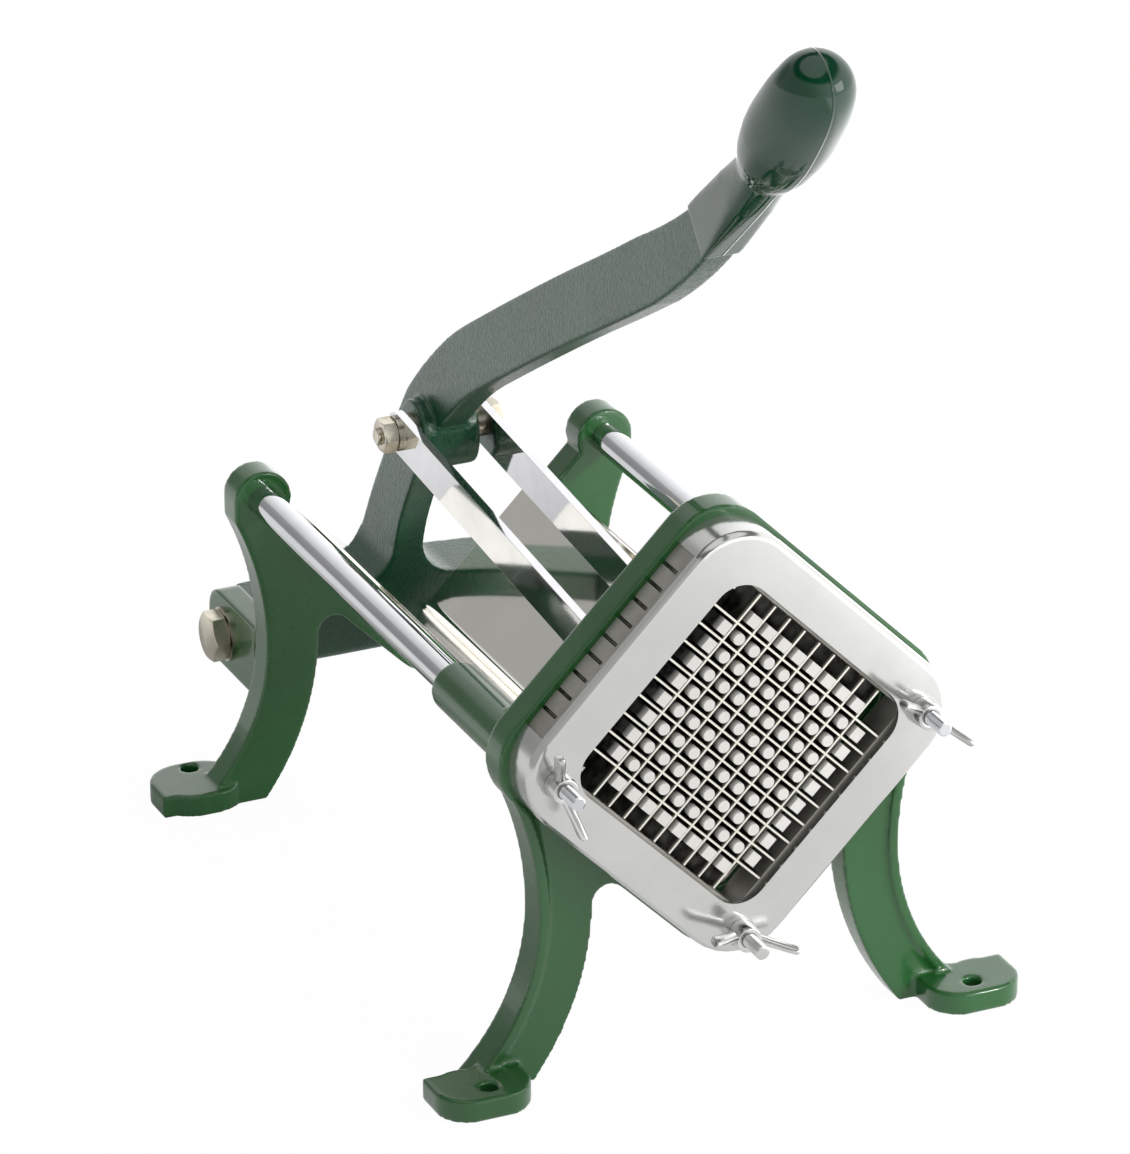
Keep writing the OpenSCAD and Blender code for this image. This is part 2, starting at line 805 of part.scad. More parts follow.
// Centre line of the lever's arm in side view, from pivot to grip
arm_path = concat([for (p = [[0, 0], [0.05, 0.24], [0.17, 0.46],
    [0.38, 0.67], [0.7, 0.925], [0.96, 1.09]])
    [pivot_y - p[0] * hub_lead, pivot_z + p[1] * hub_rise]],
    [for (p = [[0.093, 0.153], [0.2, 0.246], [0.411, 0.416], [0.584, 0.55],
    [0.71, 0.6525], [0.8, 0.7405], [0.867, 0.8235], [0.995, 0.988]])
    [hub_y - p[0] * lever_reach, hub_z + p[1] * lever_rise]]);
arm_curve = curve(arm_path, 4);
sleeve_steps = 8;  // steps of the arm's curve that the grip's sleeve covers
sleeve_root = 3;   // the sleeve's upper end lies this deep in the bulb
sleeve_ledge = 1;  // and is this much smaller than the bulb's tail
heel_steps = 12;   // steps of the curve from the pivot to the heel's end
neck_start = 38;   // the arm narrows from this step of the curve
neck_end = 46;     // and has its least width from this one
tang_start = 46;   // inside the grip the arm is only a tang
tang_w = 13;       // of this width

function arm_half(i) = i >= tang_start ? tang_w / 2
    : arm_w / 2 - (arm_w - arm_neck_w) / 2
    * min(1, max(0, (i - neck_start) / (neck_end - neck_start)));
function heel(i) = i < heel_steps / 3 ? arm_heel * sin(270 * i / heel_steps)
    : i < heel_steps ? arm_heel * pow(1.5 * (1 - i / heel_steps), 2) : 0;

// Side view of the arm, widened by extra on both sides, from point a to b
module arm_outline(extra, a, b) {
    polygon(concat(
        [for (i = [a:b]) arm_curve[i]
            + (arm_half(i) + heel(i) + extra) * normal_at(arm_curve, i)],
        [for (i = [b:-1:a]) arm_curve[i]
            - (arm_half(i) + extra) * normal_at(arm_curve, i)]));
}

module crossbar_section() {
    r = crossbar_corner_r;
    translate([pivot_y, pivot_z]) {
        square([crossbar_d, crossbar_h - 2 * r], center = true);
        square([crossbar_d - 2 * r, crossbar_h], center = true);
        for (y = [-1, 1], z = [-1, 1])
            translate([y * (crossbar_d / 2 - r), z * (crossbar_h / 2 - r)])
                circle(r);
    }
}

// Front view of the lever's foot: the crossbar, the arm and their fillets
module lever_front() {
    half = ear_x - crossbar_gap;
    taper = crossbar_taper;
    top_z = pivot_z + crossbar_h / 2;
    f = crossbar_fillet;
    foot_half = arm_t / 2 + f;
    difference() {
        union() {
            polygon([[-half, pivot_z - crossbar_h / 2 + taper],
                [-foot_half, pivot_z - crossbar_h / 2],
                [foot_half, pivot_z - crossbar_h / 2],
                [half, pivot_z - crossbar_h / 2 + taper],
                [half, top_z - taper], [foot_half, top_z],
                [-foot_half, top_z], [-half, top_z - taper]]);
            translate([-foot_half, top_z - over]) square([2 * foot_half, f + over]);
            translate([-arm_t / 2, top_z]) square([arm_t, 2 * f]);
        }
        for (s = [-1, 1]) translate([s * foot_half, top_z + f]) circle(f);
    }
}

module lever() {
    last = len(arm_curve) - 1;
    color([0.25, 0.38, 0.32]) difference() {
        union() {
            intersection() {
                side_view(-ear_x, 2 * ear_x) {
                    crossbar_section();
                    arm_outline(0, 0, 10);
                }
                translate([0, -foot_span_y, 0])
                    front_view(0, 3 * foot_span_y) lever_front();
            }
            side_view(-arm_t / 2, arm_t) arm_outline(0, 4, last);
            side_view(-hub_half, 2 * hub_half) translate([hub_y, hub_z]) {
                circle(hub_r);
                translate([0, -hub_drop]) circle(hub_r);
                translate([-hub_r, -hub_drop]) square([2 * hub_r, hub_drop]);
            }
        }
        rod_x_dir(-ear_x, pivot_y, pivot_z, pivot_d + 2 * slip, 2 * ear_x);
        rod_x_dir(-ear_x, hub_y, hub_z, link_bolt_d + 2 * slip, 2 * ear_x);
    }
}

// Half profile of the grip's bulb along its axis, tail first
bulb = [[-1, 0.72], [-0.55, 0.9], [0, 1], [0.3, 1], [0.62, 0.93],
    [0.84, 0.76], [0.96, 0.44], [1, 0]];
bulb_points = [for (p = curve(bulb, 4))
    [max(p[1], 0) * grip_d / 2, p[0] * (p[0] < 0 ? grip_tail : grip_nose)]];

module grip() {
    last = len(arm_curve) - 1;
    centre = arm_curve[last];
    half_t = arm_t / 2 + grip_skin;
    color([0.05, 0.28, 0.17]) difference() {
        union() {
            translate([0, centre[0], centre[1]]) rotate([90 - grip_tilt, 0, 0])
                rotate_extrude() polygon(concat([[0, -grip_tail]], bulb_points));
            hull() {
                translate([0, centre[0], centre[1]])
                    rotate([90 - grip_tilt, 0, 0])
                    translate([0, 0, sleeve_root - grip_tail])
                    cylinder(d = 2 * (bulb_points[0][0] - sleeve_ledge),
                        h = over, $fn = 32);
                side_view(-half_t, 2 * half_t)
                    arm_outline(grip_skin / 2, last - sleeve_steps,
                        last - sleeve_steps + 1);
            }
        }
        side_view(-arm_t / 2, arm_t) arm_outline(0, 4, last);
    }
}

module pivot_bolt() {
    start = -ear_x - ear_t - washer_t;
    stop = ear_x + ear_t + washer_t + nut_k * pivot_d + 2;
    head_h = bolt_head_k * pivot_d;
    color([0.72, 0.7, 0.66]) {
        rod_x_dir(start - head_h / 2, pivot_y, pivot_z, pivot_d,
            stop - start + head_h / 2);
        translate([start - head_h, pivot_y, pivot_z]) rotate([0, 90, 0])
            linear_extrude(head_h) hexagon(hex_af(pivot_d));
    }
}

module pivot_nut() {
    color([0.72, 0.7, 0.66])
        hex_nut_x(ear_x + ear_t + washer_t, pivot_y, pivot_z, pivot_d,
            nut_k * pivot_d);
}

module pivot_washers() {
    color([0.72, 0.7, 0.66]) for (x = [-ear_x - ear_t - washer_t,
        ear_x + ear_t])
        washer_x(x, pivot_y, pivot_z, pivot_d, 2 * pivot_d + 1, washer_t);
}

module link(x) {
    color([0.85, 0.86, 0.88]) side_view(x, link_t)
        translate([pin_y, pin_z]) rotate(link_angle) difference() {
            union() {
                translate([0, -link_w / 2]) square([link_length, link_w]);
                circle(d = link_w);
                translate([link_length, 0]) circle(d = link_w);
            }
            circle(d = link_bolt_d + 2 * slip);
            translate([link_length, 0]) circle(d = link_bolt_d + 2 * slip);
        }
}

module link_left() {
    link(-link_x - link_t);
}

module link_right() {
    link(link_x);
}

// Bolt of the links, with its head on the right
module link_bolt(y, z) {
    reach = link_x + link_t + washer_t;
    head_h = bolt_head_k * link_bolt_d;
    color([0.72, 0.7, 0.66]) {
        rod_x_dir(-reach - nut_k * link_bolt_d - 2, y, z, link_bolt_d,
            2 * reach + nut_k * link_bolt_d + 2 + head_h / 2);
        translate([reach, y, z]) rotate([0, 90, 0])
            linear_extrude(head_h) hexagon(hex_af(link_bolt_d));
    }
}

module link_nut(y, z) {
    color([0.72, 0.7, 0.66])
        hex_nut_x(-link_x - link_t - washer_t - nut_k * link_bolt_d, y, z,
            link_bolt_d, nut_k * link_bolt_d);
}

module link_washers(y, z) {
    color([0.72, 0.7, 0.66]) for (x = [-link_x - link_t - washer_t,
        link_x + link_t])
        washer_x(x, y, z, link_bolt_d, 2 * link_bolt_d, washer_t);
}

// Spacers between the links and what they hold, half its width
module link_spacers(y, z, half) {
    color([0.72, 0.7, 0.66]) for (x = [-link_x, half])
        washer_x(x, y, z, link_bolt_d, 2 * link_bolt_d, link_x - half);
}

module hub_bolt() {
    link_bolt(hub_y, hub_z);
}

module hub_nut() {
    link_nut(hub_y, hub_z);
}

module hub_washers() {
    link_washers(hub_y, hub_z);
}

module hub_spacers() {
    link_spacers(hub_y, hub_z, hub_half);
}

module link_pin() {
    link_bolt(pin_y, pin_z);
}

module link_pin_nut() {
    link_nut(pin_y, pin_z);
}

module link_pin_washers() {
    link_washers(pin_y, pin_z);
}

module link_pin_spacers() {
    link_spacers(pin_y, pin_z, tongue_half);
}

front_frame();
rear_frame();
guide_rod_left();
guide_rod_right();
trough();
blade_holder();
blades_rising();
blades_falling();
cover_plate();
low_stud();
cover_washers();
wing_nut_left();
wing_nut_right();
wing_nut_low();
pusher_carriage();
pusher_block();
block_screws();
lever();
grip();
pivot_bolt();
pivot_nut();
pivot_washers();
link_left();
link_right();
hub_bolt();
hub_nut();
hub_washers();
hub_spacers();
link_pin();
link_pin_nut();
link_pin_washers();
link_pin_spacers();
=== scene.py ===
"""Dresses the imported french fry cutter: its finishes, its rounded castings and its small parts."""

import json
import logging
import math
from dataclasses import dataclass, field
from enum import Enum
from functools import partial

import bmesh
import bpy
from mathutils import Matrix, Vector


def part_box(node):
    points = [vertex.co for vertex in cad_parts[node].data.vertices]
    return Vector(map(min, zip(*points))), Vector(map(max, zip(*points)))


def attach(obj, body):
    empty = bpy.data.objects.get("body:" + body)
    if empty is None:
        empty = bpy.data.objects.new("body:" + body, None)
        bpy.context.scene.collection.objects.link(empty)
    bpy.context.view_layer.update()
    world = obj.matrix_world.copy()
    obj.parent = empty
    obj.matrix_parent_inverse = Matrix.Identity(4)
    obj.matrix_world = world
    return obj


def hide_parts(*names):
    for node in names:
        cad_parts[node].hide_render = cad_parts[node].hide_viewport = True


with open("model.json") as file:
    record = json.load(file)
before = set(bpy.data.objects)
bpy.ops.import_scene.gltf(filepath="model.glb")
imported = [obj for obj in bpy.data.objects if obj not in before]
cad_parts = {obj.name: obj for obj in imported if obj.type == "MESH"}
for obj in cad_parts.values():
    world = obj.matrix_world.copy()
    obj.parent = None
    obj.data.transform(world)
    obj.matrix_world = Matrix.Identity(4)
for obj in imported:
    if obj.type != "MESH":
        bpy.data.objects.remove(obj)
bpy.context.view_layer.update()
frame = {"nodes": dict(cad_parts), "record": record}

MM = 0.001
IMAGE_SIZE = (1130, 1154)
MERGE = 0.01 * MM
log = logging.getLogger("fry_cutter")


def to_linear(color: tuple[int, int, int]) -> tuple[float, float, float, float]:
    """Turns an sRGB colour of 0 to 255 into the linear colour that shaders take.

    Args:
        color: red, green and blue from 0 to 255.

    Returns:
        Linear red, green and blue from 0 to 1, and an alpha of 1.
    """
    values = [c / 255 for c in color]
    linear = [v / 12.92 if v <= 0.04045 else ((v + 0.055) / 1.055) ** 2.4 for v in values]
    return (*linear, 1.0)


def corner(node: str, high: bool) -> Vector:
    """Gives the highest or the lowest corner of a CAD node."""
    return Vector(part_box(node)[1 if high else 0])


def middle(node: str) -> Vector:
    """Gives the middle of a CAD node's box."""
    return (corner(node, False) + corner(node, True)) / 2


def add_node(tree: bpy.types.NodeTree, kind: str, values: dict | None = None,
             **settings: object) -> bpy.types.Node:
    """Adds a node to a tree.

    Args:
        tree: the node tree of a material or of the world.
        kind: the node's Blender type.
        values: numbers, colours or output sockets for its inputs, by name or number.
        settings: attributes of the node.

    Returns:
        The new node.
    """
    node = tree.nodes.new(kind)
    for key, value in settings.items():
        setattr(node, key, value)
    for key, value in (values or {}).items():
        if isinstance(value, bpy.types.NodeSocket):
            tree.links.new(value, node.inputs[key])
        else:
            node.inputs[key].default_value = value
    return node


class Board:
    """A material's node tree, with short calls for its nodes and links."""

    def __init__(self, name: str) -> None:
        """Makes the material and keeps its shader and its object coordinates.

        Args:
            name: the material's name.
        """
        self.material = bpy.data.materials.new(name)
        self.material.use_nodes = True
        self.tree = self.material.node_tree
        self.shader = self.tree.nodes["Principled BSDF"]
        self.place = self.tree.nodes.new("ShaderNodeTexCoord").outputs["Object"]

    def add(self, kind: str, values: dict | None = None, **settings: object) -> bpy.types.Node:
        """Adds a node to the material."""
        return add_node(self.tree, kind, values, **settings)

    def noise(self, scale: float, detail: float = 2.0, rough: float = 0.5) -> bpy.types.NodeSocket:
        """Adds a noise texture on the object's coordinates.

        Args:
            scale: features per metre, roughly.
            detail: number of finer layers.
            rough: weight of the finer layers.

        Returns:
            The texture's value.
        """
        values = {"Vector": self.place, "Scale": scale, "Detail": detail, "Roughness": rough}
        return self.add("ShaderNodeTexNoise", values).outputs["Fac"]

    def spread(self, value: bpy.types.NodeSocket, low: float, high: float,
               start: float = 0.35, stop: float = 0.65) -> bpy.types.NodeSocket:
        """Maps a texture's value from start..stop to low..high.

        Args:
            value: the texture's output.
            low: result at start.
            high: result at stop.
            start: value that gives low.
            stop: value that gives high.

        Returns:
            The mapped value.
        """
        values = {"Value": value, "From Min": start, "From Max": stop, "To Min": low, "To Max": high}
        return self.add("ShaderNodeMapRange", values).outputs["Result"]

    def blend(self, amount: bpy.types.NodeSocket, first: tuple, second: tuple) -> bpy.types.NodeSocket:
        """Mixes two colours.

        Args:
            amount: 0 for the first colour and 1 for the second.
            first: a linear colour or an output socket.
            second: a linear colour or an output socket.

        Returns:
            The mixed colour.
        """
        mix = self.add("ShaderNodeMix", data_type="RGBA")
        self.tree.links.new(amount, mix.inputs["Factor"])
        for socket, color in (("A", first), ("B", second)):
            found = [s for s in mix.inputs if s.name == socket and s.type == "RGBA"][0]
            if isinstance(color, bpy.types.NodeSocket):
                self.tree.links.new(color, found)
            else:
                found.default_value = color
        return [s for s in mix.outputs if s.type == "RGBA"][0]

    def bump(self, height: bpy.types.NodeSocket, strength: float, distance: float,
             under: bpy.types.NodeSocket | None = None) -> bpy.types.NodeSocket:
        """Adds a bump.

        Args:
            height: the height's texture.
            strength: the bump's strength.
            distance: the height in metres.
            under: another bump that this one lies on.

        Returns:
            The bumped normal.
        """
        values = {"Height": height, "Strength": strength, "Distance": distance}
        if under is not None:
            values["Normal"] = under
        return self.add("ShaderNodeBump", values).outputs["Normal"]

    def finish(self, **values: object) -> bpy.types.Material:
        """Sets the shader's inputs.

        Args:
            values: numbers, colours or output sockets, named with _ for a space.

        Returns:
            The finished material.
        """
        for key, value in values.items():
            socket = self.shader.inputs[key.replace("_", " ")]
            if isinstance(value, bpy.types.NodeSocket):
                self.tree.links.new(value, socket)
            else:
                socket.default_value = value
        return self.material


@dataclass(frozen=True)
class Enamel:
    """Glossy enamel over a casting, with a slight orange peel."""

    name: str = "green_enamel"
    deep: tuple[int, int, int] = (28, 87, 34)
    light: tuple[int, int, int] = (36, 99, 44)
    roughness: float = 0.28
    coat: float = 0.6
    peel: float = 0.0001

    def build(self) -> bpy.types.Material:
        """Makes the enamel's material.

        Returns:
            The material.
        """
        board = Board(self.name)
        color = board.blend(board.spread(board.noise(14, 3), 0, 1), to_linear(self.deep),
                            to_linear(self.light))
        casting = board.bump(board.noise(40, 2), 0.12, 0.001)
        normal = board.bump(board.noise(420, 2), 0.2, self.peel, casting)
        rough = board.spread(board.noise(35, 4), self.roughness - 0.04, self.roughness + 0.06)
        return board.finish(Base_Color=color, Roughness=rough, Normal=normal, Coat_Weight=self.coat,
                            Coat_Roughness=0.07, Specular_IOR_Level=0.4)


@dataclass(frozen=True)
class Hammered:
    """Satin paint over a pitted casting."""

    name: str = "lever_enamel"
    deep: tuple[int, int, int] = (12, 72, 43)
    light: tuple[int, int, int] = (24, 86, 55)
    pit: tuple[int, int, int] = (6, 44, 26)
    pit_scale: float = 620
    pit_depth: float = 0.0003

    def build(self) -> bpy.types.Material:
        """Makes the lever's paint.

        Returns:
            The material.
        """
        board = Board(self.name)
        grain = board.spread(board.noise(self.pit_scale, 2, 0.6), 0, 1, 0.38, 0.62)
        speckle = board.blend(board.spread(board.noise(850, 2), 0, 1, 0.3, 0.45), to_linear(self.pit),
                              to_linear(self.deep))
        color = board.blend(board.spread(board.noise(18, 4), 0, 1), speckle, to_linear(self.light))
        waves = board.bump(board.noise(60, 2), 0.12, 0.0008)
        pits = board.bump(grain, 0.28, self.pit_depth, waves)
        rough = board.spread(board.noise(self.pit_scale, 2), 0.28, 0.42)
        return board.finish(Base_Color=color, Roughness=rough, Normal=pits, Coat_Weight=0.3,
                            Coat_Roughness=0.2)


@dataclass(frozen=True)
class Metal:
    """Bare or plated metal with a fine grain and handling marks."""

    name: str
    color: tuple[int, int, int]
    worn: tuple[int, int, int]
    roughness: float
    spread: float
    metallic: float = 1.0
    grain_scale: float = 300
    grain_depth: float = 0.00002
    mottle: float = 40

    def build(self) -> bpy.types.Material:
        """Makes the metal's material.

        Returns:
            The material.
        """
        board = Board(self.name)
        grain = board.noise(self.grain_scale, 3)
        marks = board.noise(self.mottle, 4, 0.6)
        color = board.blend(board.spread(marks, 0, 1, 0.4, 0.7), to_linear(self.color),
                            to_linear(self.worn))
        rough = board.spread(marks, self.roughness, self.roughness + self.spread)
        normal = board.bump(grain, 0.5, self.grain_depth)
        return board.finish(Base_Color=color, Metallic=self.metallic, Roughness=rough, Normal=normal)


@dataclass(frozen=True)
class Moulded:
    """Dipped vinyl with a seam along the plane of symmetry."""

    name: str
    deep: tuple[int, int, int]
    light: tuple[int, int, int]
    roughness: float
    coat: float
    ripple: float
    seam: float
    seam_w: float = 1.4 * MM

    def build(self) -> bpy.types.Material:
        """Makes the vinyl's material.

        Returns:
            The material.
        """
        board = Board(self.name)
        color = board.blend(board.spread(board.noise(25, 3), 0, 1), to_linear(self.deep),
                            to_linear(self.light))
        normal = board.bump(board.noise(45, 2), 0.3, self.ripple)
        side = board.add("ShaderNodeSeparateXYZ", {"Vector": board.place}).outputs["X"]
        off = board.add("ShaderNodeMath", {0: side}, operation="ABSOLUTE").outputs[0]
        ridge = board.spread(off, 1, 0, 0, self.seam_w / 2)
        normal = board.bump(ridge, 1.0, self.seam, normal)
        rough = board.spread(board.noise(120, 3), self.roughness, self.roughness + 0.1)
        return board.finish(Base_Color=color, Roughness=rough, Normal=normal, Coat_Weight=self.coat,
                            Coat_Roughness=0.06)


@dataclass(frozen=True)
class PaintedDepthShade:
    """A finish with painted shade: bright at its front, and painted darker with the depth behind it.

    It stays bright for a short depth behind front, and its painted shade is full from reach on.
    """

    name: str
    color: tuple[int, int, int]
    dark: tuple[int, int, int]
    front: float
    lit_depth: float
    reach: float
    roughness: float
    metallic: float = 0.0

    def build(self) -> bpy.types.Material:
        """Makes the sunken finish's material.

        Returns:
            The material.
        """
        board = Board(self.name)
        # Painted shade: the colour turns dark with depth along Y behind the front, mottled by noise
        depth = board.add("ShaderNodeSeparateXYZ", {"Vector": board.place}).outputs["Y"]
        shade_fall = board.spread(depth, 0, 1, self.front + self.lit_depth, self.front + self.reach)
        shade_mottle = board.spread(board.noise(180, 3), 0.85, 1.0)
        amount = board.add("ShaderNodeMath", {0: shade_fall, 1: shade_mottle}, operation="MULTIPLY").outputs[0]
        color = board.blend(amount, to_linear(self.color), to_linear(self.dark))
        normal = board.bump(board.noise(260, 2), 0.2, 0.0001)
        # The specular level also drops where the shade is painted
        shine = board.spread(amount, 0.5, 0.15, 0, 1)
        return board.finish(Base_Color=color, Roughness=self.roughness, Normal=normal,
                            Metallic=self.metallic, Specular_IOR_Level=shine)


class Finish(Enum):
    """Every finish of the cutter, by the record's material slot."""

    GREEN = Enamel()
    LEVER = Hammered()
    ROD = Metal("chrome_rod", (206, 207, 209), (198, 200, 203), 0.05, 0.03, grain_depth=0.000002)
    BAR = Metal("chrome_bar", (220, 220, 222), (208, 209, 212), 0.035, 0.03, grain_depth=0.000002)
    ZINC = Metal("zinc_steel", (214, 214, 212), (184, 184, 182), 0.18, 0.14, grain_depth=0.00006)
    BOLT = Metal("bolt_steel", (206, 200, 184), (160, 152, 136), 0.22, 0.15, grain_depth=0.00006)
    SHEET = Metal("polished_sheet", (240, 237, 230), (236, 233, 225), 0.05, 0.03, metallic=1.0,
                  grain_depth=0.0000015)
    HOLDER = Metal("holder_metal", (176, 174, 166), (146, 144, 134), 0.36, 0.15, metallic=0.45,
                   grain_depth=0.00005)
    # Blade flanks get painted shade with depth behind their bright front edges
    BLADE = PaintedDepthShade("blade_steel", (240, 238, 226), (46, 43, 36), front=-168.5 * MM, lit_depth=0.3 * MM,
                   reach=1.8 * MM, roughness=0.3, metallic=0.6)
    COVER = Metal("polished_cover", (206, 206, 204), (200, 200, 197), 0.14, 0.04, metallic=0.8,
                  grain_depth=0.000006)
    # Pegs get painted shade with depth behind their white front faces
    BLOCK = PaintedDepthShade("block_plastic", (242, 240, 235), (20, 17, 12), front=-170.5 * MM,
                   lit_depth=0.4 * MM, reach=5 * MM, roughness=0.45)
    GRIP = Moulded("grip_vinyl", (3, 60, 36), (6, 70, 44), roughness=0.05, coat=0.2, ripple=0.0003,
                   seam=0.0002)

    def material(self) -> bpy.types.Material:
        """Gives the finish's material, made on first use.

        Returns:
            The material.
        """
        found = bpy.data.materials.get(self.value.name + "_finish")
        if found is None:
            found = self.value.build()
            found.name = self.value.name + "_finish"
        return found

    def coat(self, piece: bpy.types.Object) -> None:
        """Gives a piece this finish and no other."""
        piece.data.materials.clear()
        piece.data.materials.append(self.material())


SLOT_FINISH = {finish.value.name: finish for finish in Finish}


def deselect() -> None:
    """Leaves edit mode and selects nothing."""
    if bpy.context.object is not None and bpy.context.object.mode != "OBJECT":
        bpy.ops.object.mode_set(mode="OBJECT")
    for piece in list(bpy.context.selected_objects):
        piece.select_set(False)


def activate(piece: bpy.types.Object) -> None:
    """Selects one object and makes it the active one.

    Args:
        piece: the object.
    """
    deselect()
    piece.select_set(True)
    bpy.context.view_layer.objects.active = piece


def slot_of(node: str) -> str:
    """Gives the material slot that the record names for a CAD node."""
    rows = frame["record"]["subparts"]
    return next(row["material_slot"] for row in rows if row["node"] == node)


def body_of(node: str) -> str:
    """Gives the body that the record puts a CAD node in."""
    bodies = frame["record"]["behaviour"]["bodies"]
    return next(body for body, nodes in bodies.items() if node in nodes)


def settle(piece: bpy.types.Object, name: str, node: str) -> bpy.types.Object:
    """Names and dresses a finished piece, and lets it stand for its CAD node.

    Args:
        piece: the finished piece, in its place.
        name: its name.
        node: the CAD node that it replaces.

    Returns:
        The piece.
    """
    deselect()
    piece.name = name
    piece.data.name = name
    slot = slot_of(node)
    SLOT_FINISH[slot].coat(piece)
    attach(piece, body_of(node))
    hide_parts(node)
    log.info("made %s in place of %s", name, node)
    return piece


def lay_down(piece: bpy.types.Object, place: Matrix) -> None:
    """Moves a piece that was modelled upright to its place and applies it to the mesh.

    Args:
        piece: the piece.
        place: its place and turn.
    """
    activate(piece)
    piece.matrix_world = place @ piece.matrix_world
    bpy.ops.object.transform_apply(location=True, rotation=True, scale=True)


def join(pieces: list[bpy.types.Object]) -> bpy.types.Object:
    """Joins several pieces into one.

    Args:
        pieces: the pieces, of which the first one stays.

    Returns:
        The joined piece.
    """
    activate(pieces[0])
    for piece in pieces[1:]:
        piece.select_set(True)
    bpy.ops.object.join()
    return bpy.context.object


def pick_faces(piece: bpy.types.Object, keep: object) -> None:
    """Selects in edit mode the faces that keep accepts, and no others.

    Args:
        piece: the mesh in edit mode.
        keep: a function of a face that says whether it is picked.
    """
    mesh = bmesh.from_edit_mesh(piece.data)
    bpy.ops.mesh.select_mode(type="FACE")
    for face in mesh.faces:
        face.select_set(bool(keep(face)))
    mesh.select_flush_mode()
    bmesh.update_edit_mesh(piece.data)


def apply_modifier(piece: bpy.types.Object, kind: str, **settings: object) -> None:
    """Adds a modifier to a piece, sets it up and applies it.

    Args:
        piece: the piece.
        kind: the modifier's Blender type.
        settings: attributes of the modifier.
    """
    activate(piece)
    bpy.ops.object.modifier_add(type=kind)
    modifier = piece.modifiers[-1]
    for key, value in settings.items():
        setattr(modifier, key, value)
    bpy.ops.object.modifier_apply(modifier=modifier.name)


def smooth(piece: bpy.types.Object, degrees: float = 35.0) -> None:
    """Shades a piece smooth where its faces meet at less than an angle."""
    activate(piece)
    bpy.ops.object.shade_smooth_by_angle(angle=math.radians(degrees))


def along_y(x: float, z: float) -> Matrix:
    """Turns an upright piece to lie along +Y through x and z."""
    return Matrix.Translation((x, 0, z)) @ Matrix.Rotation(math.radians(-90), 4, "X")


def along_x(y: float, z: float) -> Matrix:
    """Turns an upright piece to lie along +X through y and z."""
    return Matrix.Translation((0, y, z)) @ Matrix.Rotation(math.radians(90), 4, "Y")


def turned(stations: list[tuple[float, float]], sides: int = 48) -> bpy.types.Object:
    """Models an upright turned piece from its ends and steps.

    Args:
        stations: height and radius of each ring, from the bottom up, in metres.
        sides: number of sides of each ring.

    Returns:
        The closed piece, standing on the Z axis.
    """
    deselect()
    height, radius = stations[0]
    bpy.ops.mesh.primitive_circle_add(vertices=sides, radius=radius, fill_type="NGON",
                                      location=(0, 0, height))
    piece = bpy.context.object
    bpy.ops.object.transform_apply(location=True)
    bpy.ops.object.mode_set(mode="EDIT")
    bpy.ops.mesh.select_all(action="SELECT")
    for top, size in stations[1:]:
        move = {"value": (0, 0, top - height)}
        bpy.ops.mesh.extrude_region_move(TRANSFORM_OT_translate=move)
        bpy.ops.transform.resize(value=(size / radius, size / radius, 1),
                                 center_override=(0, 0, top))
        height, radius = top, size
    bpy.ops.mesh.select_all(action="SELECT")
    bpy.ops.mesh.normals_make_consistent(inside=False)
    bpy.ops.object.mode_set(mode="OBJECT")
    return piece


def thread(start: float, stop: float, radius: float, pitch: float) -> list[tuple[float, float]]:
    """Gives the rings of a thread's crests and roots.

    Args:
        start: height of its first ring.
        stop: height that it stays under.
        radius: the crests' radius.
        pitch: distance between two crests.

    Returns:
        Height and radius of each ring.
    """
    count = int((stop - start) / pitch)
    root = radius - 0.5 * pitch
    rings = []
    for i in range(count):
        crest = start + (i + 0.5) * pitch
        rings += [(crest - 0.12 * pitch, radius), (crest + 0.12 * pitch, radius),
                  (crest + 0.5 * pitch, root)]
    return rings


def merged_copy(node: str, flat: float | None = None) -> bpy.types.Object:
    """Copies a CAD node and merges its faces' doubled points.

    Args:
        node: the CAD node, which stays as it is.
        flat: angle in degrees under which neighbouring faces are joined, or None.

    Returns:
        The active copy, in object mode.
    """
    source = frame["nodes"][node]
    piece = source.copy()
    piece.data = source.data.copy()
    bpy.context.scene.collection.objects.link(piece)
    activate(piece)
    bpy.ops.mesh.customdata_custom_splitnormals_clear()
    bpy.ops.object.mode_set(mode="EDIT")
    bpy.ops.mesh.select_all(action="SELECT")
    bpy.ops.mesh.remove_doubles(threshold=MERGE)
    if flat is not None:
        bpy.ops.mesh.dissolve_limited(angle_limit=math.radians(flat))
    bpy.ops.object.mode_set(mode="OBJECT")
    return piece


@dataclass
class Rounded:
    """A casting or machined piece whose edges are rounded over its CAD solid."""

    node: str
    width: float
    segments: int = 2
    angle: float = 30.0
    flat: float = 0.5

    def build(self) -> bpy.types.Object:
        """Copies the CAD node, joins its faces, rounds its edges and puts it in its place.

        Returns:
            The rounded piece, which replaces the node.
        """
        piece = merged_copy(self.node, self.flat)
        apply_modifier(piece, "BEVEL", limit_method="ANGLE", angle_limit=math.radians(self.angle),
                       width=self.width, segments=self.segments, use_clamp_overlap=True)
        smooth(piece)
        apply_modifier(piece, "WEIGHTED_NORMAL", keep_sharp=True)
        return settle(piece, f"{self.node}_dressed", self.node)


